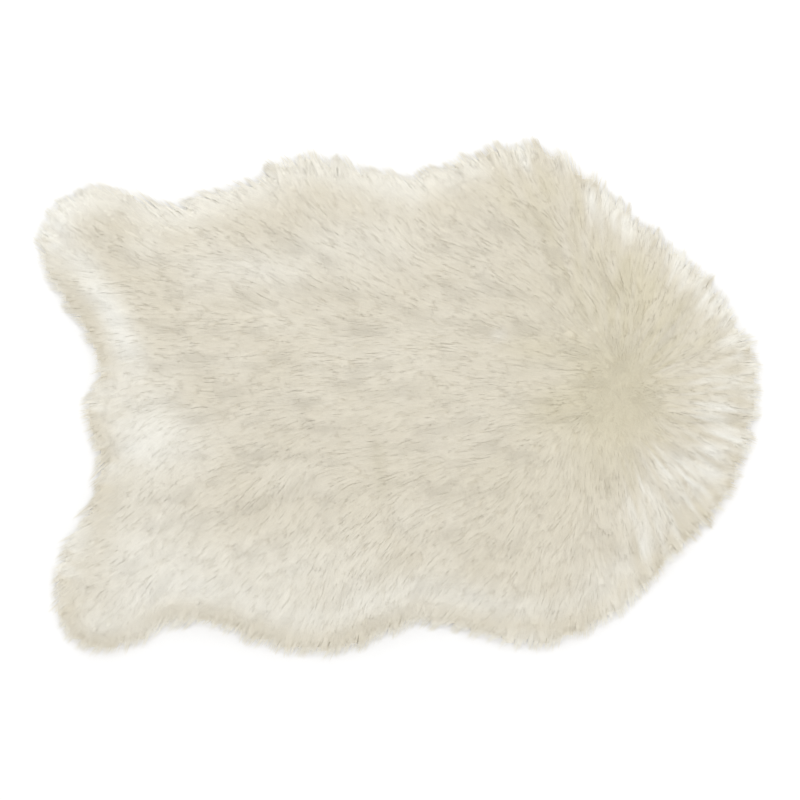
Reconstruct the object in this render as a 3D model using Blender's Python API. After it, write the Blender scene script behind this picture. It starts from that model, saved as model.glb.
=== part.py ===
"""A shag rug cut in the shape of a sheepskin, lying flat on a floor.

It is one piece of pile cloth, so it is one solid: a lumpy slab with the true outline and thickness of the
combed pile, and locks of fibre standing out round its rim. The underside is flat and rests on the floor.
Metres, +Z up. X runs from the two hind legs (-X) to the round neck end (+X). The origin is on the floor,
under the middle of the rug's box.
"""

import math
import random
from typing import NamedTuple

import bmesh
import bpy
from mathutils import Matrix, Vector, noise
from mathutils.geometry import delaunay_2d_cdt

RUG_LENGTH = 0.920  # overall, from lock tip to lock tip along X
RUG_WIDTH = 0.652  # overall, from lock tip to lock tip along Y

RIM_LOCK_COUNT = 228  # locks lying on the floor, one on each face of the slab's wall
RIM_STEP_VARIES = 0.40  # share by which the faces of the wall differ in width
SEED = 16

LOCK_MID_SHARE = 0.52  # where along its length a lock has its middle section
LOCK_MID_WIDTH = 0.82  # width there, as a share of the root's
LOCK_MID_HEIGHT = 0.60  # height there, as a share of the root's
LOCK_LENGTH_VARIES = 0.35  # share by which locks differ in length
LOCK_TURNS = math.radians(7)  # how far a lock may turn from the combing round it
LOCK_FOLLOWS_COMBING = 0.45  # 0 stands square to the edge, and 1 follows the combing
SHOULDER_LOCK_STEP = 4  # one lock in so many has another above it, on the slab's shoulder
SHOULDER_LOCK_REACH = 1.10  # length of a shoulder lock, as a share of the rim lock below it
SHOULDER_TIP_HEIGHT = 0.014
SHOULDER_INSIDE = 0.014  # how far in from the slab's edge the shoulder's upper row lies

CROWN_X = 0.279
CROWN_Y = -0.002
CROWN_DIP = 0.014  # the pile opens at the crown and shows its depth
CROWN_DIP_HALF_X = 0.065
CROWN_DIP_HALF_Y = 0.095

BROAD_LUMP = 0.0060  # waves of the whole pile
BROAD_LUMP_SIZE = 0.115
TUFT_SPACING = 0.046
TUFT_LENGTH = 0.085
TUFT_HALF_WIDTH = 0.021
TUFT_LUMP = 0.0085  # a tuft's thickness over the pile between tufts, near its tip
TUFT_LUMP_VARIES = 0.45
TUFT_TIP_FROM = 0.78  # where along its length a tuft starts to drop to its tip
GRAIN = 0.0130  # the spacing of the vertices over the slab's top


class RimPoint(NamedTuple):
    """A place on the outline of the lock tips, and how far the locks there stand out of the slab."""

    x: float
    y: float
    lock: float


RIM = (
    RimPoint(0.170, 0.324, 0.019),  # neck side of the upper shoulder
    RimPoint(0.114, 0.319, 0.019),
    RimPoint(0.062, 0.300, 0.017),
    RimPoint(0.010, 0.281, 0.015),  # upper waist
    RimPoint(-0.044, 0.295, 0.017),
    RimPoint(-0.100, 0.308, 0.020),  # upper hip
    RimPoint(-0.153, 0.304, 0.019),
    RimPoint(-0.198, 0.275, 0.017),
    RimPoint(-0.250, 0.259, 0.015),
    RimPoint(-0.302, 0.244, 0.014),  # hollow before the upper leg
    RimPoint(-0.352, 0.265, 0.015),
    RimPoint(-0.408, 0.264, 0.015),  # upper leg
    RimPoint(-0.451, 0.230, 0.013),
    RimPoint(-0.459, 0.177, 0.012),
    RimPoint(-0.432, 0.127, 0.011),
    RimPoint(-0.400, 0.080, 0.011),
    RimPoint(-0.387, 0.028, 0.012),  # hollow above the tail
    RimPoint(-0.404, -0.027, 0.013),  # tail
    RimPoint(-0.385, -0.079, 0.012),
    RimPoint(-0.394, -0.134, 0.011),
    RimPoint(-0.423, -0.181, 0.012),
    RimPoint(-0.441, -0.234, 0.013),
    RimPoint(-0.435, -0.288, 0.013),  # lower leg
    RimPoint(-0.394, -0.325, 0.013),
    RimPoint(-0.340, -0.316, 0.013),
    RimPoint(-0.288, -0.290, 0.012),  # hollow before the lower hip
    RimPoint(-0.237, -0.292, 0.012),
    RimPoint(-0.186, -0.313, 0.013),
    RimPoint(-0.130, -0.326, 0.013),  # lower hip
    RimPoint(-0.075, -0.325, 0.013),
    RimPoint(-0.023, -0.305, 0.013),
    RimPoint(0.030, -0.288, 0.013),  # lower waist
    RimPoint(0.085, -0.299, 0.013),
    RimPoint(0.138, -0.316, 0.015),
    RimPoint(0.193, -0.317, 0.015),  # lower shoulder
    RimPoint(0.243, -0.298, 0.014),
    RimPoint(0.290, -0.266, 0.013),
    RimPoint(0.367, -0.189, 0.013),
    RimPoint(0.407, -0.146, 0.013),
    RimPoint(0.433, -0.097, 0.013),
    RimPoint(0.449, -0.044, 0.014),
    RimPoint(0.458, 0.012, 0.014),  # end of the neck
    RimPoint(0.450, 0.067, 0.015),
    RimPoint(0.421, 0.115, 0.015),
    RimPoint(0.388, 0.158, 0.015),
    RimPoint(0.302, 0.229, 0.017),
    RimPoint(0.262, 0.267, 0.018),
    RimPoint(0.220, 0.304, 0.019),
)


class Combing(NamedTuple):
    """The way the fibres point at a place, in degrees anticlockwise from +X."""

    x: float
    y: float
    heading: float


# The pile is combed out of the crown, near the neck: straight out round the neck, and along the body
# towards the legs, turning out to the sides near the rim.
COMBED = (
    Combing(-0.412, 0.220, 135),  # upper leg
    Combing(-0.304, 0.220, 150),
    Combing(-0.196, 0.233, 157),  # hollow before the upper leg
    Combing(-0.089, 0.264, 123),  # upper hip
    Combing(0.019, 0.233, 138),  # upper waist
    Combing(0.127, 0.239, 137),
    Combing(0.203, 0.283, 118),  # upper shoulder
    Combing(0.260, 0.245, 87),
    Combing(0.323, 0.182, 78),
    Combing(-0.374, 0.125, 178),
    Combing(-0.253, 0.144, 166),
    Combing(-0.146, 0.163, 150),
    Combing(-0.032, 0.176, 150),
    Combing(0.082, 0.176, 161),
    Combing(0.177, 0.163, 153),
    Combing(0.253, 0.125, 130),  # above the crown
    Combing(0.323, 0.087, 68),
    Combing(0.386, 0.137, 58),
    Combing(-0.367, 0.023, 201),  # behind the tail
    Combing(-0.253, 0.061, 178),
    Combing(-0.127, 0.036, 188),
    Combing(0.000, 0.042, 184),
    Combing(0.127, 0.036, 178),
    Combing(0.215, 0.030, 176),  # left of the crown
    Combing(0.367, 0.011, 0),  # right of the crown
    Combing(0.431, 0.011, 0),  # end of the neck
    Combing(-0.317, -0.053, 217),
    Combing(-0.190, -0.053, 202),
    Combing(-0.025, -0.065, 192),
    Combing(0.127, -0.059, 194),
    Combing(0.260, -0.084, 278),  # below the crown
    Combing(0.336, -0.065, -35),
    Combing(0.425, -0.078, -15),
    Combing(-0.266, -0.141, 222),
    Combing(-0.146, -0.141, 232),
    Combing(-0.025, -0.141, 218),
    Combing(0.076, -0.141, 212),
    Combing(0.184, -0.129, 232),
    Combing(0.298, -0.141, -66),
    Combing(0.367, -0.160, -42),
    Combing(-0.380, -0.205, 206),
    Combing(-0.418, -0.268, 221),  # lower leg
    Combing(-0.310, -0.255, 238),
    Combing(-0.196, -0.249, 232),  # lower hollow
    Combing(-0.089, -0.243, 242),  # lower hip
    Combing(0.000, -0.249, 252),
    Combing(0.095, -0.243, 228),  # lower waist
    Combing(0.203, -0.236, 262),  # lower shoulder
    Combing(0.285, -0.224, -72),
)
COMBING_REACH = 0.045  # how far one of these is felt


class PileHeight(NamedTuple):
    """The pile's thickness at a distance in from the slab's edge."""

    inside: float
    height: float


PILE = (
    PileHeight(0.000, 0.015),
    PileHeight(0.014, 0.026),
    PileHeight(0.034, 0.036),
    PileHeight(0.058, 0.041),  # the crest, where the pile turns over towards the rim
    PileHeight(0.110, 0.038),
    PileHeight(0.170, 0.036),
    PileHeight(0.400, 0.036),
)

PILE_COLOUR = (0.716, 0.659, 0.541, 1.0)  # linear RGB of a warm cream
PILE_ROUGHNESS = 0.9
SHARP_ABOVE = math.radians(70)


def clear_scene():
    for old in list(bpy.data.objects):
        bpy.data.objects.remove(old, do_unlink=True)


def smoothstep(share):
    share = min(1.0, max(0.0, share))
    return share * share * (3.0 - 2.0 * share)


def through(before, start, end, after, share):
    """A Catmull-Rom curve from start to end, which also heeds the value on either side."""
    return 0.5 * (
        2.0 * start
        + (end - before) * share
        + (2.0 * before - 5.0 * start + 4.0 * end - after) * share**2
        + (3.0 * start - before - 3.0 * end + after) * share**3
    )


def smooth_rim(steps_per_span=24):
    """The closed outline as many small steps, each an (x, y, lock length) vector."""
    knots = [Vector(row) for row in RIM]
    rim = []
    for index in range(len(knots)):
        span = [knots[(index + shift) % len(knots)] for shift in (-1, 0, 1, 2)]
        rim += [through(*span, step / steps_per_span) for step in range(steps_per_span)]
    return rim


def walk(path, distances):
    """The places at these distances along an open path of vectors, measured in the floor's plane."""
    lengths = [0.0]
    for here, there in zip(path, path[1:]):
        lengths.append(lengths[-1] + (there - here).xy.length)
    places = []
    index = 0
    for wanted in distances:
        while lengths[index + 1] < wanted and index + 2 < len(lengths):
            index += 1
        share = (wanted - lengths[index]) / (lengths[index + 1] - lengths[index])
        places.append(path[index].lerp(path[index + 1], share))
    return places


def path_length(path):
    return sum((there - here).xy.length for here, there in zip(path, path[1:]))


def rim_stations(chance):
    """The corners of the wall's faces, carried out to the outline at slightly uneven steps."""
    rim = smooth_rim()
    rim.append(rim[0])
    steps = [1.0 + chance.uniform(-RIM_STEP_VARIES, RIM_STEP_VARIES) for _ in range(RIM_LOCK_COUNT)]
    scale = path_length(rim) / sum(steps)
    return walk(rim, [scale * sum(steps[:number]) for number in range(RIM_LOCK_COUNT)])


def outward_normals(stations):
    """Unit vectors in the floor's plane. The outline runs anticlockwise, so outward is to its right."""
    normals = []
    for index in range(len(stations)):
        along = stations[(index + 3) % len(stations)] - stations[index - 3]
        normals.append(Vector((along.y, -along.x)).normalized())
    return normals


def combing(place):
    """The way the fibres point at a place, as a unit vector in the floor's plane."""
    mean = Vector((0.0, 0.0))
    for row in COMBED:
        heading = math.radians(row.heading)
        distance = (place - Vector((row.x, row.y))).length / COMBING_REACH
        mean += Vector((math.cos(heading), math.sin(heading))) / (0.1 + distance**4)
    return mean.normalized()


def staggered(spacing, chance, jitter):
    """Places over the rug's box in staggered rows, each moved by up to a share of the spacing."""
    row_step = spacing * math.sqrt(0.75)
    rows = math.ceil(RUG_WIDTH / row_step)
    columns = math.ceil(RUG_LENGTH / spacing)
    places = []
    for row in range(rows + 1):
        for column in range(columns + 1):
            x = (column - 0.5 * columns + 0.5 * (row % 2)) * spacing
            y = (row - 0.5 * rows) * row_step
            shift = [chance.uniform(-jitter, jitter) * spacing for _ in range(2)]
            places.append(Vector((x + shift[0], y + shift[1])))
    return places


def inside_loop(place, loop):
    """Whether a place lies inside a closed loop of places."""
    inside = False
    for index, here in enumerate(loop):
        before = loop[index - 1]
        if (here.y > place.y) != (before.y > place.y):
            crossing = here.x + (place.y - here.y) * (before.x - here.x) / (before.y - here.y)
            inside ^= place.x < crossing
    return inside


def pile_height(inside):
    for lower, upper in zip(PILE, PILE[1:]):
        if inside <= upper.inside:
            share = (inside - lower.inside) / (upper.inside - lower.inside)
            return lower.height + (upper.height - lower.height) * smoothstep(share)
    return PILE[-1].height


def crown_dip(place):
    across = (place.x - CROWN_X) / CROWN_DIP_HALF_X
    along = (place.y - CROWN_Y) / CROWN_DIP_HALF_Y
    return CROWN_DIP * (1.0 - smoothstep(math.hypot(across, along)))


def broad_lump(place):
    return BROAD_LUMP * noise.noise(Vector((place.x, place.y, 0.0)) / BROAD_LUMP_SIZE)


class Tuft(NamedTuple):
    """A tuft lies along its heading, from half its length behind its middle to half its length ahead."""

    middle: Vector
    heading: Vector
    lump: float


def lay_tufts(chance):
    tufts = []
    for middle in staggered(TUFT_SPACING, chance, jitter=0.32):
        lump = TUFT_LUMP * (1.0 + chance.uniform(-TUFT_LUMP_VARIES, TUFT_LUMP_VARIES))
        tufts.append(Tuft(middle, combing(middle), lump))
    return tufts


def tuft_lump(place, tufts):
    """How much the highest tuft over a place raises the pile there."""
    highest = 0.0
    for tuft in tufts:
        offset = place - tuft.middle
        share = 0.5 + offset.dot(tuft.heading) / TUFT_LENGTH
        across = offset.cross(tuft.heading) / TUFT_HALF_WIDTH
        if abs(across) < 1.0 and 0.0 < share < 1.0:
            rise = smoothstep(share / TUFT_TIP_FROM) * smoothstep((1.0 - share) / (1.0 - TUFT_TIP_FROM))
            highest = max(highest, tuft.lump * rise * (1.0 - across * across))
    return highest


def top_height(place, edge, tufts):
    inside = min((place - point).length for point in edge)
    lumps = broad_lump(place) + tuft_lump(place, tufts)
    fade = smoothstep(inside / SHOULDER_INSIDE)
    return pile_height(inside) - crown_dip(place) + fade * lumps


def add_top(mesh, row, edge, tufts, chance):
    """The lumpy top inside the shoulder's upper row, as a net of near even triangles."""
    loop = [corner.co.xy for corner in row]
    places = list(loop)
    for place in staggered(GRAIN, chance, jitter=0.12):
        near = min((place - corner).length for corner in loop)
        if near > 0.6 * GRAIN and inside_loop(place, loop):
            places.append(place)
    sides = [(index, (index + 1) % len(loop)) for index in range(len(loop))]
    only_inside_sides = 1
    net_places, _, net_faces, *_ = delaunay_2d_cdt(places, sides, [], only_inside_sides, GRAIN * 1e-3)
    corners = list(row)
    for place in net_places[len(row):]:
        corners.append(mesh.verts.new((place.x, place.y, top_height(place, edge, tufts))))
    for face in net_faces:
        mesh.faces.new([corners[index] for index in face])


def strip(mesh, outer, inner):
    """The faces between two closed rows of vertices that match one to one."""
    faces = []
    for index, corner in enumerate(outer):
        after = (index + 1) % len(outer)
        faces.append(mesh.faces.new((corner, outer[after], inner[after], inner[index])))
    return faces


def grow_lock(mesh, root, forward, tip_height, level):
    """Extrudes a face of the slab into a four-sided lock that tapers to a point.

    A level lock keeps its underside on the floor.
    """
    middle = root.calc_center_median()
    grown = bmesh.ops.extrude_discrete_faces(mesh, faces=[root])["faces"][0]
    level_at_mid = middle.z + (tip_height - middle.z) * LOCK_MID_SHARE
    for corner in grown.verts:
        offset = corner.co - middle
        corner.co = middle + offset * LOCK_MID_WIDTH + forward * LOCK_MID_SHARE
        if level:
            corner.co.z = (middle.z + offset.z) * LOCK_MID_HEIGHT
        else:
            corner.co.z = level_at_mid + offset.z * LOCK_MID_HEIGHT
    end = bmesh.ops.extrude_discrete_faces(mesh, faces=[grown])["faces"][0]
    tip = middle + forward
    tip.z = tip_height
    bmesh.ops.pointmerge(mesh, verts=list(end.verts), merge_co=tip)


def turned(direction, angle):
    return Matrix.Rotation(angle, 3, "Z") @ direction.to_3d()


def grow_locks(mesh, wall, shoulder, stations, normals, chance):
    for number, root in enumerate(wall):
        after = (number + 1) % len(wall)
        here = stations[number].lerp(stations[after], 0.5)
        normal = (normals[number] + normals[after]).normalized()
        heading = normal.lerp(combing(here.xy), LOCK_FOLLOWS_COMBING).normalized()
        length = here.z * (1.0 + chance.uniform(-LOCK_LENGTH_VARIES, LOCK_LENGTH_VARIES))
        forward = turned(heading, chance.uniform(-LOCK_TURNS, LOCK_TURNS)) * length
        grow_lock(mesh, root, forward, 0.0, level=True)
        if number % SHOULDER_LOCK_STEP == 0:
            length = here.z * SHOULDER_LOCK_REACH
            forward = turned(normal, chance.uniform(-LOCK_TURNS, LOCK_TURNS)) * length
            grow_lock(mesh, shoulder[number], forward, SHOULDER_TIP_HEIGHT, level=False)


def shag_mesh():
    chance = random.Random(SEED)
    stations = rim_stations(chance)
    normals = outward_normals(stations)
    edge = [point.xy - normal * point.z for point, normal in zip(stations, normals)]
    shoulder_edge = [place - normal * SHOULDER_INSIDE for place, normal in zip(edge, normals)]
    tufts = lay_tufts(chance)

    mesh = bmesh.new()
    floor = [mesh.verts.new((place.x, place.y, 0.0)) for place in edge]
    low_row = [mesh.verts.new((place.x, place.y, PILE[0].height)) for place in edge]
    high_row = []
    for place in shoulder_edge:
        high_row.append(mesh.verts.new((place.x, place.y, top_height(place, edge, tufts))))
    wall = strip(mesh, floor, low_row)
    shoulder = strip(mesh, low_row, high_row)
    add_top(mesh, high_row, edge, tufts, chance)
    mesh.faces.new(list(reversed(floor)))
    grow_locks(mesh, wall, shoulder, stations, normals, chance)
    bmesh.ops.triangulate(mesh, faces=list(mesh.faces))
    return mesh


def fit_to_size(mesh):
    """Brings the lock tips to the overall size, with the origin on the floor under the middle."""
    low = [min(vertex.co[axis] for vertex in mesh.verts) for axis in range(2)]
    high = [max(vertex.co[axis] for vertex in mesh.verts) for axis in range(2)]
    sizes = (RUG_LENGTH, RUG_WIDTH)
    for vertex in mesh.verts:
        for axis in range(2):
            middle = 0.5 * (low[axis] + high[axis])
            scale = sizes[axis] / (high[axis] - low[axis])
            vertex.co[axis] = (vertex.co[axis] - middle) * scale


def pile_material():
    material = bpy.data.materials.new("cream_pile")
    material.use_nodes = True
    shader = material.node_tree.nodes["Principled BSDF"]
    shader.inputs["Base Color"].default_value = PILE_COLOUR
    shader.inputs["Roughness"].default_value = PILE_ROUGHNESS
    shader.inputs["Metallic"].default_value = 0.0
    return material


def build_rug():
    mesh = shag_mesh()
    fit_to_size(mesh)
    data = bpy.data.meshes.new("shag_pile")
    mesh.to_mesh(data)
    mesh.free()
    data.materials.append(pile_material())
    data.shade_smooth()
    data.set_sharp_from_angle(angle=SHARP_ABOVE)
    rug = bpy.data.objects.new("shag_pile", data)
    bpy.context.scene.collection.objects.link(rug)


def main():
    clear_scene()
    build_rug()


main()
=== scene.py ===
"""The looks of a shag rug: a cream long pile, combed out of a crown near the neck end.

The pile is made of fibre bundles, each a thin tapered ribbon, that grow in tufts out of a denser bed. The bed
stands for the solid, and both follow its height. Metres, +Z up, and +X to the right in the photo.
"""

import math
from typing import NamedTuple

import bpy
import numpy as np
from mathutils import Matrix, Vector
from mathutils.bvhtree import BVHTree


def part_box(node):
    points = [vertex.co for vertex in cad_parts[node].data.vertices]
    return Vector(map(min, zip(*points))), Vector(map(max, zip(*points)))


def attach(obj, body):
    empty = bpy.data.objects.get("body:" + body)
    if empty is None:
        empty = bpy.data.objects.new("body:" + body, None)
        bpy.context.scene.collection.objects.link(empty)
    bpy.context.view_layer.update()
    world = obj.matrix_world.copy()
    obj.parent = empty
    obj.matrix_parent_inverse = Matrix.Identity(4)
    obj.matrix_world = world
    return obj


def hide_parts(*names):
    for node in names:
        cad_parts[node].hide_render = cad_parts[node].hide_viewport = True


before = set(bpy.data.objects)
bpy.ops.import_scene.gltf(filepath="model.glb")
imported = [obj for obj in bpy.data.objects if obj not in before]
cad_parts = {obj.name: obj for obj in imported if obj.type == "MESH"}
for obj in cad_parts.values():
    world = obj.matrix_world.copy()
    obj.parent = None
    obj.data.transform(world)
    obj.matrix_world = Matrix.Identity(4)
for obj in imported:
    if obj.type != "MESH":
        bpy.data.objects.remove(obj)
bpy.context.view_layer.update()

NODE = "shag_pile"
SEED = 5

CROWN = np.array((0.279, -0.002))
CROWN_HALF_X = 0.050
CROWN_HALF_Y = 0.085

CELL = 0.0025  # of the grid on which the solid's height is read
GRID_MARGIN = 0.06
WALL_HEIGHT = 0.012  # where the solid is higher than this, it is slab and not lock
SMOOTHINGS = 8  # passes that take the locks and crests out of the smoothed height
AT_ONCE = 4000  # cells of which the distance is worked out in one go
NORMAL_STEP = 3.0 * CELL
OUTWARD_STEP = 2.0 * CELL

PIECE_TRIANGLES = 190000  # the most in one joined mesh
RIM_REACH = 0.045  # how far in from the edge the pile turns out towards it


class Growth(NamedTuple):
    """One kind of pile: how its tufts are made up, and the length and width of its bundles."""

    strands: int  # in a tuft
    bundles: int  # in a strand
    stations: int  # from a bundle's root to its tip
    length: float
    length_at_rim: float
    width: float
    fine_tip: float  # a lower number thins the bundles sooner


BODY = Growth(5, 5, 5, 0.036, 0.037, 0.00125, 2.0)
RIM = Growth(6, 4, 6, 0.042, 0.058, 0.00108, 1.7)
RIM_GROWTH_REACH = 0.032  # how far in from the edge the rim's kind of pile grows
NO_GROWTH_REACH = 0.004  # how far in from the edge no tuft grows
TUFT_SPACING = 0.0098
TUFT_JITTER = 0.42  # as a share of the spacing
TUFT_RADIUS = 0.60 * TUFT_SPACING
STRAND_RADIUS = 0.0021
BED_HEIGHT = 0.972  # of the dense pile under the bundles, as a share of the solid's
SKIRT = 0.006  # how far the dense pile slopes out past the slab's edge


class Combing(NamedTuple):
    """The way the fibres point at a place, in degrees anticlockwise from +X."""

    x: float
    y: float
    heading: float


# As in the solid: out of the crown, and along the body towards the legs, turning out near the rim.
COMBED = (
    Combing(-0.412, 0.220, 135),  # upper leg
    Combing(-0.304, 0.220, 150),
    Combing(-0.196, 0.233, 157),  # hollow before the upper leg
    Combing(-0.089, 0.264, 123),  # upper hip
    Combing(0.019, 0.233, 138),  # upper waist
    Combing(0.127, 0.239, 137),
    Combing(0.203, 0.283, 118),  # upper shoulder
    Combing(0.260, 0.245, 87),
    Combing(0.323, 0.182, 78),
    Combing(-0.374, 0.125, 178),
    Combing(-0.253, 0.144, 166),
    Combing(-0.146, 0.163, 150),
    Combing(-0.032, 0.176, 150),
    Combing(0.082, 0.176, 161),
    Combing(0.177, 0.163, 153),
    Combing(0.253, 0.125, 130),  # above the crown
    Combing(0.323, 0.087, 68),
    Combing(0.386, 0.137, 58),
    Combing(-0.367, 0.023, 201),  # at the tail
    Combing(-0.253, 0.061, 178),
    Combing(-0.127, 0.036, 188),
    Combing(0.000, 0.042, 184),
    Combing(0.127, 0.036, 178),
    Combing(0.215, 0.030, 176),  # left of the crown
    Combing(0.367, 0.011, 0),  # right of the crown
    Combing(0.431, 0.011, 0),  # end of the neck
    Combing(-0.317, -0.053, 217),
    Combing(-0.190, -0.053, 202),
    Combing(-0.025, -0.065, 192),
    Combing(0.127, -0.059, 194),
    Combing(0.260, -0.084, 278),  # below the crown
    Combing(0.336, -0.065, -35),
    Combing(0.425, -0.078, -15),
    Combing(-0.266, -0.141, 222),
    Combing(-0.146, -0.141, 232),
    Combing(-0.025, -0.141, 218),
    Combing(0.076, -0.141, 212),
    Combing(0.184, -0.129, 232),
    Combing(0.298, -0.141, -66),
    Combing(0.367, -0.160, -42),
    Combing(-0.380, -0.205, 206),
    Combing(-0.418, -0.268, 221),  # lower leg
    Combing(-0.310, -0.255, 238),
    Combing(-0.196, -0.249, 232),  # lower hollow
    Combing(-0.089, -0.243, 242),  # lower hip
    Combing(0.000, -0.249, 252),
    Combing(0.095, -0.243, 228),  # lower waist
    Combing(0.203, -0.236, 262),  # lower shoulder
    Combing(0.285, -0.224, -72),
)
COMBING_REACH = 0.045
COMBING_BLEND = 0.1  # a higher number blends the places more


class Wash(NamedTuple):
    """A soft zone of paler (above 0) or deeper fibre, partly its own tone and partly painted light and shade:
    its middle, half sizes and turn in degrees.
    """

    x: float
    y: float
    half_x: float
    half_y: float
    turn: float
    paler: float


# Deeper zones are mostly painted shade: the crown, where the pile is seen into, the parting up to the upper
# shoulder, and hollows and dips in the rim. Paler zones are partly the fibre's own tone and partly painted
# light on crests and rims.
WASHES = (
    Wash(0.274, 0.008, 0.072, 0.105, 0, -1.15),  # the crown, painted shade
    Wash(0.295, 0.150, 0.100, 0.042, -48, -0.45),  # inside the upper right rim
    Wash(0.240, 0.140, 0.075, 0.090, 0, -0.25),  # above the crown
    Wash(0.185, 0.250, 0.045, 0.075, 0, -0.30),  # towards the upper shoulder
    Wash(0.185, 0.005, 0.065, 0.045, 0, -0.25),  # left of the crown
    Wash(0.395, -0.010, 0.050, 0.070, 0, 0.16),  # end of the neck
    Wash(0.324, -0.116, 0.060, 0.036, 50, 0.52),  # below the neck
    Wash(0.280, -0.265, 0.035, 0.030, 0, 0.45),  # in the lower right rim
    Wash(0.050, -0.262, 0.060, 0.020, 0, 0.22),  # in the rim of the lower waist
    Wash(-0.350, -0.290, 0.050, 0.014, 0, 0.30),  # in the rim of the lower leg
    Wash(0.385, 0.150, 0.030, 0.030, 0, 0.30),  # in the rim above the neck
    Wash(0.279, 0.234, 0.070, 0.025, -43, 0.38),  # in the rim of the upper right
    Wash(0.412, -0.042, 0.035, 0.032, 0, 0.28),  # end of the neck, below its middle
    Wash(0.165, 0.262, 0.060, 0.032, 0, -0.50),  # in the rim of the upper shoulder
    Wash(-0.175, 0.165, 0.080, 0.028, 0, 0.42),  # inside the upper hip
    Wash(-0.040, 0.197, 0.080, 0.032, 0, 0.36),  # inside the upper waist
    Wash(0.155, -0.303, 0.050, 0.012, 0, 0.50),  # in the rim of the lower shoulder
    Wash(-0.325, 0.190, 0.030, 0.022, 0, 0.30),  # inside the upper leg
    Wash(-0.383, -0.138, 0.022, 0.040, 0, -0.60),  # in the rim between the tail and the lower leg
    Wash(0.330, -0.085, 0.030, 0.020, -30, 0.20),  # below the crown
    Wash(0.150, -0.110, 0.075, 0.070, 0, -0.15),  # left below the crown
    Wash(-0.312, -0.052, 0.056, 0.055, 0, 0.66),  # inside the tail
    Wash(-0.366, 0.112, 0.019, 0.070, 27, 0.55),  # along the upper leg
    Wash(-0.432, 0.200, 0.030, 0.050, 0, 0.50),  # end of the upper leg
    Wash(-0.345, 0.040, 0.030, 0.060, 10, 0.25),  # above the tail
    Wash(-0.330, -0.205, 0.080, 0.060, 0, 0.50),  # over the lower leg
    Wash(-0.140, -0.225, 0.120, 0.055, 0, 0.40),  # over the lower hip
    Wash(0.126, 0.080, 0.012, 0.012, 0, 0.45),  # between the crown and the middle
    Wash(0.162, 0.063, 0.034, 0.018, 0, -0.50),  # painted shade in a hollow left of the crown
    Wash(0.194, 0.030, 0.022, 0.016, 0, 0.35),  # painted light on the crest below it
    Wash(0.190, -0.016, 0.026, 0.024, 30, -0.45),  # painted shade in the next hollow
)
# Painted shade in a crease of the pile, in both its paleness and its tone.
CREASE_PAINTED_SHADE = Wash(-0.026, -0.088, 0.0085, 0.050, 9, -0.35)
CREASE_SHADE_ON_TONE = 0.36  # how much painted shade the crease takes off the tone of the fibre


class Band(NamedTuple):
    """How much a band along the rim adds: how far in from the slab's edge its middle lies, and its reach."""

    middle: float
    reach: float
    amount: float


# Painted light and shade in bands along the rim: paler tips all round, a paler upper rim that faces the
# light, and on the lower rim paler tips, a painted shade line behind them and a paler crest inside.
PAINTED_LIGHT_ALL_ROUND = Band(-0.010, 0.018, 0.20)
PAINTED_LIGHT_UPPER_RIM = Band(0.006, 0.021, 0.42)
PAINTED_LIGHT_AND_SHADE_LOWER_RIM = (
    Band(-0.012, 0.007, 0.42),  # painted light on the tips
    Band(0.006, 0.012, -0.20),  # painted shade in the line behind them
    Band(0.036, 0.020, 0.30),  # painted light on the crest inside
)
PAINTED_LIGHT_ON_SLOPE = Band(0.004, 0.018, 0.50)  # painted light on the slope of the lower rim
PAINTED_LIGHT_AT_EDGE = Band(-0.004, 0.018, 0.27)  # painted light all round
PAINTED_LIGHT_AT_TIPS = 0.32  # painted light at the tips of the lower and right rims
TIPS_START = 0.003  # how far out of the slab's edge the tips begin
TIPS_FADE = 0.008
TIPS_TO_RIGHT = 0.6  # how much a rim that faces right counts
TIPS_SPREAD = 0.2

# The rim's sides, by how far up in the photo the rim faces, from -1 to 1.
UPPER_FROM = -0.15
LOWER_FROM = 0.25
SIDE_FADE = 0.75
SLOPE_FROM = 0.3
SLOPE_FADE = 0.9


class Ripples(NamedTuple):
    """Paler and deeper patches: their size, how pale or deep they are, and the seed of their waves."""

    size: float
    paler: float
    seed: int


RIPPLES = (Ripples(0.050, 0.10, 24), Ripples(0.022, 0.05, 25))


class Streaks(NamedTuple):
    """Painted highlights and shade in streaks out of the crown, between its locks: their width in radians,
    their length, and how pale or deep they are.
    """

    width: float
    length: float
    paler: float
    seed: int


STREAKS = (Streaks(0.060, 0.040, 0.28, 26), Streaks(0.037, 0.028, 0.36, 27))
STREAKS_FROM = (0.262, 0.000)
STREAKS_BEARING = 0.35  # on which their pattern is centred
STREAKS_START = 0.045
STREAKS_FADE = 0.04
STREAKS_LEFT_END = 0.24  # on the crown's own line, and further left above it
STREAKS_LEFT_FADE = 0.07
STREAKS_LEAN = 0.6


def smoothstep(share):
    share = np.clip(share, 0.0, 1.0)
    return share * share * (3.0 - 2.0 * share)


def between(grid, cell, share):
    """The value of a grid at a share of the way across each cell, in x and in y."""
    column = np.clip(cell[..., 0], 0, grid.shape[1] - 2)
    row = np.clip(cell[..., 1], 0, grid.shape[0] - 2)
    right, up = share[..., 0], share[..., 1]
    low = grid[row, column] * (1 - right) + grid[row, column + 1] * right
    high = grid[row + 1, column] * (1 - right) + grid[row + 1, column + 1] * right
    return low * (1 - up) + high * up


LATTICE = 96  # cells between random values, as many on either side of the rug's middle


class Waves:
    """Smooth random waves over the floor, from -1 to 1, of about one size."""

    def __init__(self, size, seed):
        self.size = size
        self.lattice = np.random.default_rng(seed).uniform(-1.0, 1.0, (LATTICE + 1, LATTICE + 1))

    def __call__(self, places):
        scaled = places / self.size + LATTICE // 2
        cell = np.floor(scaled).astype(int)
        return between(self.lattice, cell, smoothstep(scaled - cell))


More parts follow.
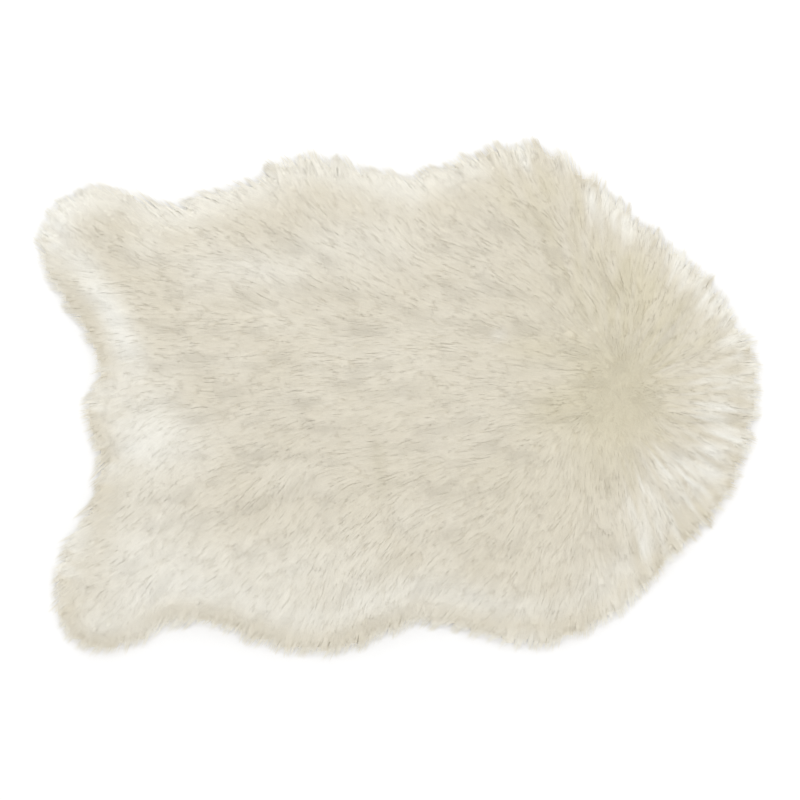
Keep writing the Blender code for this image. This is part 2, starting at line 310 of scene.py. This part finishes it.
class Slab:
    """The solid's height over the floor, and the distance in from the edge of its slab."""

    def __init__(self, node):
        low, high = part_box(node)
        self.low = np.array(low[:2]) - GRID_MARGIN
        size = np.array(high[:2]) + GRID_MARGIN - self.low
        columns, rows = np.ceil(size / CELL).astype(int) + 1
        solid = bpy.data.objects[node]
        tree = BVHTree.FromObject(solid, bpy.context.evaluated_depsgraph_get())
        down = Vector((0.0, 0.0, -1.0))
        self.height = np.zeros((rows, columns))
        for row in range(rows):
            for column in range(columns):
                x, y = self.low + CELL * np.array((column, row))
                hit = tree.ray_cast(Vector((x, y, 1.0)), down)[0]
                if hit is not None:
                    self.height[row, column] = hit.z
        slab = self.height > WALL_HEIGHT
        self.inside = self._distance(slab) - self._distance(~slab)
        self.smooth = self.height
        for _ in range(SMOOTHINGS):
            around = sum(np.roll(self.smooth, shift, axis) for shift in (1, -1) for axis in (0, 1))
            self.smooth = 0.2 * (self.smooth + around)

    @staticmethod
    def _distance(region):
        """How far each cell of a region lies from the cells outside it."""
        border = region & ~(
            np.roll(region, 1, 0) & np.roll(region, -1, 0) & np.roll(region, 1, 1) & np.roll(region, -1, 1)
        )
        edge = np.argwhere(border).astype(np.float32)
        cells = np.argwhere(region).astype(np.float32)
        nearest = np.empty(len(cells), np.float32)
        for start in range(0, len(cells), AT_ONCE):
            part = cells[start:start + AT_ONCE]
            square = ((part[:, None, :] - edge[None, :, :]) ** 2).sum(axis=2)
            nearest[start:start + AT_ONCE] = np.sqrt(square.min(axis=1))
        distance = np.zeros(region.shape)
        distance[region] = (nearest + 0.5) * CELL
        return distance

    def _read(self, grid, places):
        scaled = (places - self.low) / CELL
        cell = np.floor(scaled).astype(int)
        return between(grid, cell, scaled - cell)

    def height_at(self, places):
        return self._read(self.height, places)

    def low_height_at(self, places):
        """The height with its sharpest crests worn down."""
        height = self._read(self.height, places)
        return 0.5 * (height + np.minimum(height, self._read(self.smooth, places)))

    def inside_at(self, places):
        return self._read(self.inside, places)

    def normal_at(self, places):
        """Unit normals of the pile's smoothed top."""
        normal = np.ones(places.shape[:-1] + (3,))
        for axis in range(2):
            shift = np.zeros(2)
            shift[axis] = NORMAL_STEP
            fall = self._read(self.smooth, places - shift) - self._read(self.smooth, places + shift)
            normal[..., axis] = fall / (2.0 * NORMAL_STEP)
        return normal / np.linalg.norm(normal, axis=-1, keepdims=True)

    def outward_at(self, places):
        """Unit vectors in the floor's plane that lead straight out of the slab."""
        slope = np.empty(places.shape)
        for axis in range(2):
            shift = np.zeros(2)
            shift[axis] = OUTWARD_STEP
            slope[..., axis] = self.inside_at(places - shift) - self.inside_at(places + shift)
        return slope / np.maximum(np.linalg.norm(slope, axis=-1, keepdims=True), 1e-9)


def combing(places):
    """The bearing of the fibres, in radians anticlockwise from +X."""
    way = np.zeros(places.shape)
    for row in COMBED:
        distance = np.linalg.norm(places - (row.x, row.y), axis=-1, keepdims=True) / COMBING_REACH
        way += unit(np.radians(row.heading)) / (COMBING_BLEND + distance ** 4)
    return np.arctan2(way[..., 1], way[..., 0])


def within(wash, places):
    """1 in the middle of a zone, fading to 0 outside it."""
    turn = np.radians(wash.turn)
    offset = places - (wash.x, wash.y)
    along = offset[..., 0] * np.cos(turn) + offset[..., 1] * np.sin(turn)
    across = offset[..., 1] * np.cos(turn) - offset[..., 0] * np.sin(turn)
    return np.exp(-(along / wash.half_x) ** 2 - (across / wash.half_y) ** 2)


def along_rim(band, inside, out_to_tips=False):
    """What a band adds at places that lie so far inside the slab's edge."""
    past = inside - band.middle
    if out_to_tips:
        past = np.maximum(past, 0.0)
    return band.amount * np.exp(-(past / band.reach) ** 2)


def paleness_and_painted_light(places, slab):
    """How much paler (to 1) or deeper (to -1) the fibre looks than the rug's usual cream: its own tone in the
    ripples and partly in the zones, and painted light and shade in the zones, the crease, the neck's streaks
    and the rim's bands.
    """
    pale = np.zeros(places.shape[:-1])
    for wash in WASHES + (CREASE_PAINTED_SHADE,):
        pale += wash.paler * within(wash, places)
    for ripples in RIPPLES:
        pale += ripples.paler * Waves(ripples.size, ripples.seed)(places)
    pale += painted_neck_streaks(places)
    inside = slab.inside_at(places)
    facing_up = slab.outward_at(places)[..., 1]
    upper = smoothstep((facing_up - UPPER_FROM) / SIDE_FADE)
    lower = smoothstep((LOWER_FROM - facing_up) / SIDE_FADE)
    pale += along_rim(PAINTED_LIGHT_ALL_ROUND, inside, True)
    pale += upper * along_rim(PAINTED_LIGHT_UPPER_RIM, inside, True)
    for band in PAINTED_LIGHT_AND_SHADE_LOWER_RIM:
        pale += lower * along_rim(band, inside)
    return np.clip(pale, -1.0, 1.0)


def painted_neck_streaks(places):
    """Painted highlights and shade in streaks that run straight out of the crown into the neck and the upper
    shoulder.
    """
    out = places - STREAKS_FROM
    distance = np.linalg.norm(out, axis=-1)
    turn = np.arctan2(out[..., 1], out[..., 0]) - STREAKS_BEARING
    pale = np.zeros(distance.shape)
    for streaks in STREAKS:
        unrolled = np.stack((turn / streaks.width, distance / streaks.length), axis=-1)
        pale += streaks.paler * Waves(1.0, streaks.seed)(unrolled)
    right = places[..., 0] + STREAKS_LEAN * np.maximum(places[..., 1], 0.0)
    share = smoothstep((distance - STREAKS_START) / STREAKS_FADE)
    return share * smoothstep((right - STREAKS_LEFT_END) / STREAKS_LEFT_FADE) * pale


def painted_light_and_shade(places, slab):
    """How much painted light makes the fibre lighter on the slopes of the rims, along the edge and at the
    lower and right tips, and how much painted shade makes it darker in the crease.
    """
    inside = slab.inside_at(places)
    outward = slab.outward_at(places)
    lower = smoothstep((SLOPE_FROM - outward[..., 1]) / SLOPE_FADE)
    light = lower * along_rim(PAINTED_LIGHT_ON_SLOPE, inside) + along_rim(PAINTED_LIGHT_AT_EDGE, inside)
    lower_right = smoothstep(TIPS_TO_RIGHT * outward[..., 0] - outward[..., 1] + TIPS_SPREAD)
    at_tips = smoothstep((-inside - TIPS_START) / TIPS_FADE)
    return light + PAINTED_LIGHT_AT_TIPS * at_tips * lower_right - CREASE_SHADE_ON_TONE * within(CREASE_PAINTED_SHADE, places)


def crown_share(places):
    """1 in the middle of the crown and 0 outside it."""
    across = (places - CROWN) / (CROWN_HALF_X, CROWN_HALF_Y)
    return 1.0 - smoothstep(np.linalg.norm(across, axis=-1))


def staggered(spacing, low, high, rng, jitter):
    """Places in rows, every other row half a step along, and each place moved a little."""
    row_step = spacing * math.sqrt(0.75)
    rows = int((high[1] - low[1]) / row_step) + 1
    columns = int((high[0] - low[0]) / spacing) + 1
    column, row = np.meshgrid(np.arange(columns), np.arange(rows))
    x = low[0] + (column + 0.5 * (row % 2)) * spacing
    y = low[1] + row * row_step
    places = np.stack((x, y), axis=-1).reshape(-1, 2)
    return places + rng.uniform(-jitter, jitter, places.shape) * spacing


def in_disk(radius, count, rng):
    """Random places evenly spread over a disk."""
    out = radius * np.sqrt(rng.uniform(0.0, 1.0, count))
    return unit(rng.uniform(0.0, 2.0 * math.pi, count)) * out[:, None]


def unit(bearing):
    """Unit vectors in the floor's plane on these bearings, in radians."""
    return np.stack((np.cos(bearing), np.sin(bearing)), axis=-1)


DROOP_HEIGHT = 0.0145  # of the pile's top at the slab's edge, over that at the tips
DROOP_REACH = 0.0135
DROOP_CURVE = 0.85
TIP_HEIGHT = 0.0008
STATION_CURVE = 0.8


def droop(inside):
    """The height of the pile's top past the slab's edge."""
    return DROOP_HEIGHT * np.clip(1.0 + inside / DROOP_REACH, 0.0, 1.0) ** DROOP_CURVE + TIP_HEIGHT


def station_shares(stations):
    """How far along a bundle its stations lie, closer together towards the tip."""
    return np.linspace(0.0, 1.0, stations) ** STATION_CURVE


def tuft_roots(slab):
    """Where the tufts of the body and of the rim grow."""
    rng = np.random.default_rng(SEED)
    low, high = (np.array(corner[:2]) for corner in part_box(NODE))
    roots = staggered(TUFT_SPACING, low, high, rng, TUFT_JITTER)
    inside = slab.inside_at(roots)
    at_rim = (inside > NO_GROWTH_REACH) & (inside < RIM_GROWTH_REACH)
    return roots[inside >= RIM_GROWTH_REACH], roots[at_rim]


def pile_top(places, slab):
    """The height of the top of the pile: the solid's, and the droop past its slab."""
    inside = slab.inside_at(places)
    return np.where(inside < 0.0, droop(inside), np.maximum(slab.height_at(places), droop(inside)))


# How the bearings of the fibres vary, in radians, over the floor and from one to the next.
SWIRL = 0.18
SWIRL_SIZE = 0.075
FINE_SWIRL = 0.14
FINE_SWIRL_SIZE = 0.024
TUFT_TURN = 0.05
STRAND_TURN = 0.06
BUNDLE_TURN = 0.03
TURNED_OUT_AT_RIM = 0.20  # the share of the way straight out in the bearing at the rim
CROWN_TUFT_TURN = 1.6
CROWN_BUNDLE_TURN = 2.2
LESS_TURN_AT_RIM = 0.4
BEND = 0.18  # from the root to the tip
LESS_BEND_AT_RIM = 0.5
ROLL = 0.10  # about the bundle's own line

# The reach of a tuft, and of its parts as shares of it.
TUFT_REACH = (0.78, 1.15)
STRAND_REACH = (0.76, 1.12)
BUNDLE_REACH = (0.88, 1.04)
SHORTER_IN_CROWN = 0.55
SHORTEST = 0.02
BUNDLE_WIDTH = (0.7, 1.25)

# How far bundles draw together towards their tips, in their tuft and in their strand.
TUFT_GATHER = (0.10, 0.50)
TUFT_GATHER_AT_RIM = 0.30
TUFT_GATHER_CURVE = 1.3
STRAND_GATHER = 0.55
STRAND_GATHER_AT_RIM = 0.88

# How far out past the slab's edge the tips may reach, and how ragged that line is, in metres.
LIMIT = 0.0100
LIMIT_MORE_ABOVE = 0.0035  # in the upper part of the rug
ABOVE_FROM = 0.08
ABOVE_FADE = 0.16
LIMIT_AT_MOST = 0.0190
TUFT_RAGGED = 0.0044
STRAND_RAGGED = 0.0046
STRAY_FURTHER = 0.0070
STRAY_SHARE = 0.20
BUNDLE_RAGGED = 0.0010
POINTED = 0.0045  # how far a strand's outer bundles stay behind its middle
LIMIT_PASSES = 6
MOVED_IN = 0.75  # as a share of what a bundle reaches too far
SHORTENED = 0.35

# How high the bundles lie, as shares of the pile's top.
ROOT_UNDER_BED = 0.05
ROOT_HIGHER_IN_CROWN = 0.045
ROOT_LOWER_AT_RIM = 0.20
LOWEST_OVER_BED = 0.005
HIGHEST = 0.987
SUNK_AT_RIM = 0.24  # the share of strands that lie in the depth of the rim
SUNK_DEEPEST = 0.45
RISE_SHARE = 0.34  # of a bundle, over which it comes up out of its root
LAYER_SHARE = 0.45  # how much a bundle's layer counts in its height, and the rest its rise to the tip
LAYER_SPREAD = 0.12
FOLLOWED = 0.25  # how much of the bulge between two stations each of them takes on

# The last of the height, in metres.
LIFT = 0.0001  # in the middle of a bundle
LIFT_FADE = 0.02  # how far in from the edge it is whole
LIFT_CURVE = 0.8
LOWEST_HEIGHT = 0.0006

# The tone of the fibre, from 0 to 1, and how it differs.
USUAL_TONE = 0.5
TONE_WAVES = 0.03
TONE_WAVE_SIZE = 0.045
TUFT_TONE = 0.02
STRAND_TONE = 0.055
STRAND_TONE_AT_RIM = 0.135
BUNDLE_TONE = 0.015
BRIGHT_TONE = 0.17
BRIGHT_SHARE = 0.06  # of the bundles

# What turns a bundle's normals away from those of the pile's top.
NORMAL_UPRIGHT = 0.10
NORMAL_TILT = 0.04
NORMAL_UP = 0.5


def lay_bundles(slab, roots, growth, seed):
    """The stations of every bundle, from root to tip, with its half widths, tones, normals and paleness; the
    tones and the paleness carry painted light and shade.
    """
    rng = np.random.default_rng(seed)
    tufts = len(roots)

    bearing = combing(roots) + SWIRL * Waves(SWIRL_SIZE, 21)(roots)
    bearing += FINE_SWIRL * Waves(FINE_SWIRL_SIZE, 22)(roots) + rng.normal(0.0, TUFT_TURN, tufts)
    crown = crown_share(roots)
    near_rim = 1.0 - smoothstep(slab.inside_at(roots) / RIM_REACH)
    turned_out = TURNED_OUT_AT_RIM * near_rim
    way = unit(bearing) * (1.0 - turned_out)[:, None] + slab.outward_at(roots) * turned_out[:, None]
    bearing = np.arctan2(way[:, 1], way[:, 0]) + CROWN_TUFT_TURN * crown * rng.uniform(-1.0, 1.0, tufts)
    reach = growth.length + (growth.length_at_rim - growth.length) * near_rim
    reach = reach * rng.uniform(*TUFT_REACH, tufts) * (1.0 - SHORTER_IN_CROWN * crown)
    bend = rng.normal(0.0, BEND, tufts) * (1.0 - LESS_BEND_AT_RIM * near_rim)
    lift = rng.normal(0.0, LIFT, tufts)
    tone = USUAL_TONE + TUFT_TONE * rng.normal(size=tufts) + TONE_WAVES * Waves(TONE_WAVE_SIZE, 23)(roots)
    gather = rng.uniform(*TUFT_GATHER, tufts) + TUFT_GATHER_AT_RIM * near_rim
    ragged = TUFT_RAGGED * rng.normal(size=tufts)

    # the strands of each tuft
    strands = tufts * growth.strands
    tuft = np.repeat(np.arange(tufts), growth.strands)
    strand_offset = in_disk(TUFT_RADIUS, strands, rng)
    strand_reach = reach[tuft] * rng.uniform(*STRAND_REACH, strands)
    less_turn = 1.0 - LESS_TURN_AT_RIM * near_rim[tuft]
    strand_bearing = bearing[tuft] + rng.normal(0.0, STRAND_TURN, strands) * less_turn
    strand_layer = rng.uniform(0.0, 1.0, strands)
    tone_spread = STRAND_TONE + STRAND_TONE_AT_RIM * near_rim[tuft]
    strand_tone = tone[tuft] + tone_spread * rng.normal(size=strands)
    strand_ragged = ragged[tuft] + STRAND_RAGGED * rng.normal(size=strands)
    strand_ragged += STRAY_FURTHER * (rng.uniform(0.0, 1.0, strands) < STRAY_SHARE)
    strand_sunk = rng.uniform(0.0, 1.0, strands) < SUNK_AT_RIM * near_rim[tuft]
    strand_depth = rng.uniform(SUNK_DEEPEST, BED_HEIGHT, strands)

    # the bundles of each strand
    count = strands * growth.bundles
    strand = np.repeat(np.arange(strands), growth.bundles)
    of = tuft[strand]
    own_offset = in_disk(STRAND_RADIUS, count, rng)
    outside = np.linalg.norm(own_offset, axis=1) / STRAND_RADIUS
    own_reach = strand_reach[strand] * rng.uniform(*BUNDLE_REACH, count)
    own_bearing = strand_bearing[strand] + rng.normal(0.0, BUNDLE_TURN, count)
    own_bearing += CROWN_BUNDLE_TURN * crown[of] * rng.uniform(-1.0, 1.0, count)
    layer = np.clip(strand_layer[strand] + rng.normal(0.0, LAYER_SPREAD, count), 0.0, 1.0)
    own_ragged = strand_ragged[strand] + BUNDLE_RAGGED * rng.normal(size=count) - POINTED * outside ** 2

    share = station_shares(growth.stations)
    start = roots[of] + strand_offset[strand] + own_offset
    strand_gather = STRAND_GATHER + (STRAND_GATHER_AT_RIM - STRAND_GATHER) * near_rim[of]

    def path(reach_now):
        """Places in the floor's plane at each station."""
        places = np.empty((count, growth.stations, 2))
        places[:, 0] = start
        for station in range(1, growth.stations):
            turn = bend[of] * (share[station] - 0.5)
            step = reach_now * (share[station] - share[station - 1])
            places[:, station] = places[:, station - 1] + unit(own_bearing + turn) * step[:, None]
        to_tuft = gather[of][:, None] * share[None, :] ** TUFT_GATHER_CURVE
        to_strand = strand_gather[:, None] * share[None, :]
        places -= strand_offset[strand][:, None] * to_tuft[..., None]
        return places - own_offset[:, None] * to_strand[..., None]

    # the bundles that reach too far out move in, and become shorter
    upper = smoothstep((start[:, 1] - ABOVE_FROM) / ABOVE_FADE)
    limit = np.minimum(LIMIT + LIMIT_MORE_ABOVE * upper + own_ragged, LIMIT_AT_MOST)
    heading = unit(bearing[of])
    for _ in range(LIMIT_PASSES):
        tips = path(own_reach)[:, -1]
        excess = np.maximum(0.0, -slab.inside_at(tips) - limit)
        start = start - MOVED_IN * excess[:, None] * heading
        own_reach = np.maximum(own_reach - SHORTENED * excess, SHORTEST)
    places = path(own_reach)

    inside = slab.inside_at(places)
    surface = pile_top(places, slab)
    middles = 0.5 * (places[:, :-1] + places[:, 1:])
    bulge = pile_top(middles, slab) - 0.5 * (surface[:, :-1] + surface[:, 1:])
    surface[:, :-1] += FOLLOWED * bulge
    surface[:, 1:] += FOLLOWED * bulge
    rise = smoothstep(share[None, :] / RISE_SHARE)
    root = BED_HEIGHT - ROOT_UNDER_BED + ROOT_HIGHER_IN_CROWN * crown[of] - ROOT_LOWER_AT_RIM * near_rim[of]
    root_height = root[:, None] * surface[:, :1]
    lowest = BED_HEIGHT + LOWEST_OVER_BED
    depth = lowest + (HIGHEST - lowest) * (LAYER_SHARE * layer[:, None] + (1.0 - LAYER_SHARE) * share)
    depth = np.where(strand_sunk[strand][:, None], strand_depth[strand][:, None], depth)
    height = root_height + (depth * surface - root_height) * rise
    mound = LIFT * (1.0 - outside ** 2)
    arch = np.sin(math.pi * share)[None, :] ** LIFT_CURVE
    height += ((mound + lift[of])[:, None] * arch) * np.clip(inside / LIFT_FADE, 0.0, 1.0)
    height = np.maximum(height, LOWEST_HEIGHT)
    stations = np.concatenate((places, height[..., None]), axis=-1)

    along = np.gradient(stations, axis=1)
    along /= np.maximum(np.linalg.norm(along, axis=-1, keepdims=True), 1e-9)
    level = np.stack((-along[..., 1], along[..., 0], np.zeros(along.shape[:2])), axis=-1)
    level /= np.maximum(np.linalg.norm(level, axis=-1, keepdims=True), 1e-9)
    upright = np.cross(along, level)
    roll = rng.normal(0.0, ROLL, count)[:, None, None]
    side = level * np.cos(roll) + upright * np.sin(roll)
    width = growth.width * rng.uniform(*BUNDLE_WIDTH, count)
    taper = 1.0 - share ** growth.fine_tip
    half = side * (0.5 * width[:, None] * taper[None, :])[..., None]
    own_tone = strand_tone[strand] + BUNDLE_TONE * rng.normal(size=count)
    own_tone += BRIGHT_TONE * (rng.uniform(0.0, 1.0, count) < BRIGHT_SHARE)
    # painted light and shade of the rims and the crease, on top of the bundle's own tone
    own_tone = np.clip(own_tone[:, None] + painted_light_and_shade(places, slab), 0.0, 1.0)
    tilt = rng.normal(0.0, NORMAL_TILT, count)[:, None, None]
    normals = slab.normal_at(places) + NORMAL_UPRIGHT * upright + tilt * level + (0.0, 0.0, NORMAL_UP)
    normals /= np.linalg.norm(normals, axis=-1, keepdims=True)
    return stations, half, own_tone, normals, paleness_and_painted_light(places, slab)


def bundle_mesh(name, stations, half, tone, normals, pale):
    """One joined mesh of ribbons, each a strip of quads that ends in a triangle at its tip."""
    count, steps = stations.shape[:2]
    pairs = steps - 1
    left = stations[:, :pairs] - half[:, :pairs]
    right = stations[:, :pairs] + half[:, :pairs]
    rows = np.stack((left, right), axis=2).reshape(count, 2 * pairs, 3)
    points = np.concatenate((rows, stations[:, -1:]), axis=1)
    per = 2 * pairs + 1
    first = per * np.arange(count)[:, None]
    quad = np.array([(2 * k + 1, 2 * k, 2 * k + 2, 2 * k + 3) for k in range(pairs - 1)]).reshape(-1)
    tip = np.array((2 * pairs - 1, 2 * pairs - 2, 2 * pairs))
    loops = (first + np.concatenate((quad, tip))[None, :]).reshape(-1)
    sizes = np.tile(np.array([4] * (pairs - 1) + [3]), count)
    starts = np.concatenate(([0], np.cumsum(sizes)[:-1]))

    mesh = bpy.data.meshes.new(name)
    mesh.vertices.add(count * per)
    mesh.vertices.foreach_set("co", points.reshape(-1).astype(np.float32))
    mesh.loops.add(len(loops))
    mesh.loops.foreach_set("vertex_index", loops.astype(np.int32))
    mesh.polygons.add(len(sizes))
    mesh.polygons.foreach_set("loop_start", starts.astype(np.int32))
    mesh.polygons.foreach_set("use_smooth", np.ones(len(sizes), bool))
    mesh.update(calc_edges=True)
    share = np.concatenate((np.repeat(station_shares(steps)[:pairs], 2), [1.0]))
    add_values(mesh, "along", np.tile(share, count))
    for label, values in (("tone", tone), ("pale", pale)):
        in_pairs = np.repeat(values[:, :pairs], 2, axis=1)
        add_values(mesh, label, np.concatenate((in_pairs, values[:, -1:]), axis=1).reshape(-1))
    point_normals = np.concatenate((np.repeat(normals[:, :pairs], 2, axis=1), normals[:, -1:]), axis=1)
    mesh.normals_split_custom_set_from_vertices(point_normals.reshape(-1, 3).tolist())
    piece = bpy.data.objects.new(name, mesh)
    bpy.context.scene.collection.objects.link(piece)
    return piece


def add_values(mesh, name, values):
    attribute = mesh.attributes.new(name, "FLOAT", "POINT")
    attribute.data.foreach_set("value", values.astype(np.float32))


# The fibre's cream, deeper, usual and paler: the deeper end carries painted shade as well as deeper fibre,
# and the paler end painted light as well as paler fibre.
DEEPER_AND_SHADED = (0.689, 0.637, 0.489, 1.0)
USUAL = (0.734, 0.687, 0.573, 1.0)
PALER_AND_LIT = (0.911, 0.897, 0.831, 1.0)
ROOT_SHADE = 0.970  # a fibre's colour at its root, as a share of that at its tip
ROOT_END = 0.1  # how far along a fibre the root's colour holds
TIP_START = 0.8
DARKEST = 0.90  # a fibre of tone 0, as a share of its colour
LIGHTEST = 1.09  # a fibre of tone 1
GRAIN_SCALE = 600.0
GRAIN_LOW = 0.3  # of the noise
GRAIN_HIGH = 0.7
GRAIN = 0.015


def new_material(name):
    material = bpy.data.materials.new(name)
    material.use_nodes = True
    return material, material.node_tree.nodes, material.node_tree.links


def attribute(nodes, name):
    node = nodes.new("ShaderNodeAttribute")
    node.attribute_name = name
    return node.outputs["Fac"]


def mapped(nodes, links, value, low, high, new_low, new_high):
    node = nodes.new("ShaderNodeMapRange")
    node.inputs["From Min"].default_value = low
    node.inputs["From Max"].default_value = high
    node.inputs["To Min"].default_value = new_low
    node.inputs["To Max"].default_value = new_high
    links.new(value, node.inputs["Value"])
    return node.outputs["Result"]


def product(nodes, links, first, second):
    node = nodes.new("ShaderNodeMath")
    node.operation = "MULTIPLY"
    links.new(first, node.inputs[0])
    links.new(second, node.inputs[1])
    return node.outputs["Value"]


def fibre_material(name):
    material, nodes, links = new_material(name)
    shader = nodes["Principled BSDF"]
    # the paleness, with its painted light and shade, picks the colour
    by_paleness = nodes.new("ShaderNodeValToRGB")
    ramp = by_paleness.color_ramp
    ramp.elements[0].color = DEEPER_AND_SHADED
    ramp.elements[1].color = PALER_AND_LIT
    ramp.elements.new(0.5).color = USUAL
    links.new(mapped(nodes, links, attribute(nodes, "pale"), -1.0, 1.0, 0.0, 1.0), by_paleness.inputs["Fac"])
    root_to_tip = mapped(nodes, links, attribute(nodes, "along"), ROOT_END, TIP_START, ROOT_SHADE, 1.0)
    own = mapped(nodes, links, attribute(nodes, "tone"), 0.0, 1.0, DARKEST, LIGHTEST)
    grain = nodes.new("ShaderNodeTexNoise")
    grain.inputs["Scale"].default_value = GRAIN_SCALE
    grain.inputs["Detail"].default_value = 2.0
    place = nodes.new("ShaderNodeTexCoord")
    links.new(place.outputs["Object"], grain.inputs["Vector"])
    fine = mapped(nodes, links, grain.outputs["Fac"], GRAIN_LOW, GRAIN_HIGH, 1.0 - GRAIN, 1.0 + GRAIN)
    own = product(nodes, links, own, fine)
    tinted = nodes.new("ShaderNodeVectorMath")
    tinted.operation = "SCALE"
    links.new(by_paleness.outputs["Color"], tinted.inputs[0])
    links.new(product(nodes, links, root_to_tip, own), tinted.inputs["Scale"])
    links.new(tinted.outputs["Vector"], shader.inputs["Base Color"])
    shader.inputs["Roughness"].default_value = 0.7
    shader.inputs["Specular IOR Level"].default_value = 0.08
    shader.inputs["Sheen Weight"].default_value = 0.05
    shader.inputs["Sheen Roughness"].default_value = 0.5
    return material


BED_CELL = 0.005
BED_ALONG = 0.55  # the bed has the colour of the fibre so far from its root
# A touch above the fibre's usual tone: painted light that lifts the bed where it shows in the shaded gaps
# between the bundles.
BED_TONE = 0.52
SKIRT_FALL = 0.25  # how much lower the bed is at the end of its skirt


def edge_loops(sides):
    """Closed loops of corners, from the sides that only one face has."""
    onward = dict(sides)
    assert len(onward) == len(sides), "the edge touches itself"
    while onward:
        first, here = onward.popitem()
        loop = [first]
        while here != first:
            loop.append(here)
            here = onward.pop(here)
        yield loop


def bed_mesh(slab):
    """The dense lower part of the pile: a closed body that the bundles cover."""
    low, high = (np.array(corner[:2]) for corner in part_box(NODE))
    columns = int((high[0] - low[0]) / BED_CELL) + 1
    rows = int((high[1] - low[1]) / BED_CELL) + 1
    column, row = np.meshgrid(np.arange(columns), np.arange(rows))
    places = np.stack((low[0] + column * BED_CELL, low[1] + row * BED_CELL), axis=-1)
    inside = slab.inside_at(places)
    kept = inside > -SKIRT
    top = np.where(inside < 0.0, droop(inside), np.maximum(slab.low_height_at(places), droop(inside)))
    skirt = smoothstep((inside + SKIRT) / (2.0 * SKIRT))
    height = BED_HEIGHT * top * (1.0 - SKIRT_FALL + SKIRT_FALL * skirt)
    number = -np.ones(kept.shape, int)
    number[kept] = np.arange(kept.sum())
    tops = np.concatenate((places[kept], height[kept][:, None]), axis=1)
    floors = tops.copy()
    floors[:, 2] = 0.0
    count = len(tops)
    faces = []
    sides = {}  # those of one face only
    for r in range(rows - 1):
        for c in range(columns - 1):
            corners = [number[r, c], number[r, c + 1], number[r + 1, c + 1], number[r + 1, c]]
            if min(corners) < 0:
                continue
            corners = [int(corner) for corner in corners]
            faces.append(corners)
            for here, there in zip(corners, corners[1:] + corners[:1]):
                if (there, here) in sides:
                    del sides[(there, here)]
                else:
                    sides[(here, there)] = True
    for here, there in sides:
        faces.append([there, here, here + count, there + count])
    for loop in edge_loops(list(sides)):
        faces.append([corner + count for corner in reversed(loop)])
    mesh = bpy.data.meshes.new("pile_bed")
    mesh.from_pydata(np.concatenate((tops, floors)).tolist(), [], faces)
    mesh.shade_smooth()
    # the bed takes the same painted light and shade as the bundles
    pale = paleness_and_painted_light(places[kept], slab)
    add_values(mesh, "along", np.full(2 * count, BED_ALONG))
    tone = BED_TONE + painted_light_and_shade(places[kept], slab)
    add_values(mesh, "tone", np.concatenate((tone, tone)))
    add_values(mesh, "pale", np.concatenate((pale, pale)))
    piece = bpy.data.objects.new("pile_bed", mesh)
    bpy.context.scene.collection.objects.link(piece)
    return piece


FLOOR_HALF = 6.0
FLOOR_DROP = 0.0005  # so that the floor and the underside of the bed don't share a plane
FLOOR_WHITE = (0.99, 0.99, 0.99, 1.0)


def add_floor():
    mesh = bpy.data.meshes.new("floor")
    corners = [(FLOOR_HALF * x, FLOOR_HALF * y, 0.0) for x, y in ((-1, -1), (1, -1), (1, 1), (-1, 1))]
    mesh.from_pydata(corners, [], [(0, 1, 2, 3)])
    floor = bpy.data.objects.new("floor", mesh)
    material, nodes, _ = new_material("pale_floor")
    nodes["Principled BSDF"].inputs["Base Color"].default_value = FLOOR_WHITE
    nodes["Principled BSDF"].inputs["Roughness"].default_value = 0.9
    mesh.materials.append(material)
    bpy.context.scene.collection.objects.link(floor)
    floor.location.z = -FLOOR_DROP


def add_light(name, place, size, power):
    data = bpy.data.lights.new(name, "AREA")
    data.shape = "DISK"
    data.size = size
    data.energy = power
    light = bpy.data.objects.new(name, data)
    light.location = place
    light.rotation_euler = (-Vector(place)).to_track_quat("-Z", "Y").to_euler()
    bpy.context.scene.collection.objects.link(light)


WHITE = (1.0, 1.0, 1.0, 1.0)
ROOM_STRENGTH = 0.98
KEY_PLACE = (0.0, 1.8, 2.0)
KEY_SIZE = 2.4
KEY_POWER = 14.0


def add_studio():
    world = bpy.data.worlds.new("studio")
    world.use_nodes = True
    world.node_tree.nodes["Background"].inputs["Color"].default_value = WHITE
    world.node_tree.nodes["Background"].inputs["Strength"].default_value = ROOM_STRENGTH
    bpy.context.scene.world = world
    add_light("key", KEY_PLACE, KEY_SIZE, KEY_POWER)


PHOTO_WIDTH = 800
METRES_PER_PIXEL = 0.0012672
PIXELS_DOWN = 1.5  # how far the photo's middle lies below the rug's
PILE_PLANE = 0.02  # the height at which a pixel has that size
LENS = 100.0
SENSOR = 36.0


def add_camera():
    data = bpy.data.cameras.new("camera")
    data.lens = LENS
    data.sensor_width = SENSOR
    camera = bpy.data.objects.new("camera", data)
    view_width = PHOTO_WIDTH * METRES_PER_PIXEL
    camera.location = (0.0, -PIXELS_DOWN * METRES_PER_PIXEL, view_width * LENS / SENSOR + PILE_PLANE)
    bpy.context.scene.collection.objects.link(camera)
    bpy.context.scene.camera = camera


def main():
    slab = Slab(NODE)
    material = fibre_material("cream_fibre")
    pieces = []
    body_roots, rim_roots = tuft_roots(slab)
    kinds = ((body_roots, BODY, "pile", SEED + 1), (rim_roots, RIM, "rim_pile", SEED + 2))
    for roots, growth, name, seed in kinds:
        bundles = lay_bundles(slab, roots, growth, seed)
        in_piece = PIECE_TRIANGLES // (2 * growth.stations - 3)
        for number, start in enumerate(range(0, len(bundles[0]), in_piece)):
            part = (values[start:start + in_piece] for values in bundles)
            piece = bundle_mesh(f"{name}_{number + 1}", *part)
            piece.data.materials.append(material)
            pieces.append(piece)
    bed = bed_mesh(slab)
    bed.data.materials.append(material)
    pieces.append(bed)
    for piece in pieces:
        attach(piece, "root")
    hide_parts(NODE)
    add_floor()
    add_studio()
    add_camera()
    scene = bpy.context.scene
    scene.view_settings.view_transform = "Standard"


main()
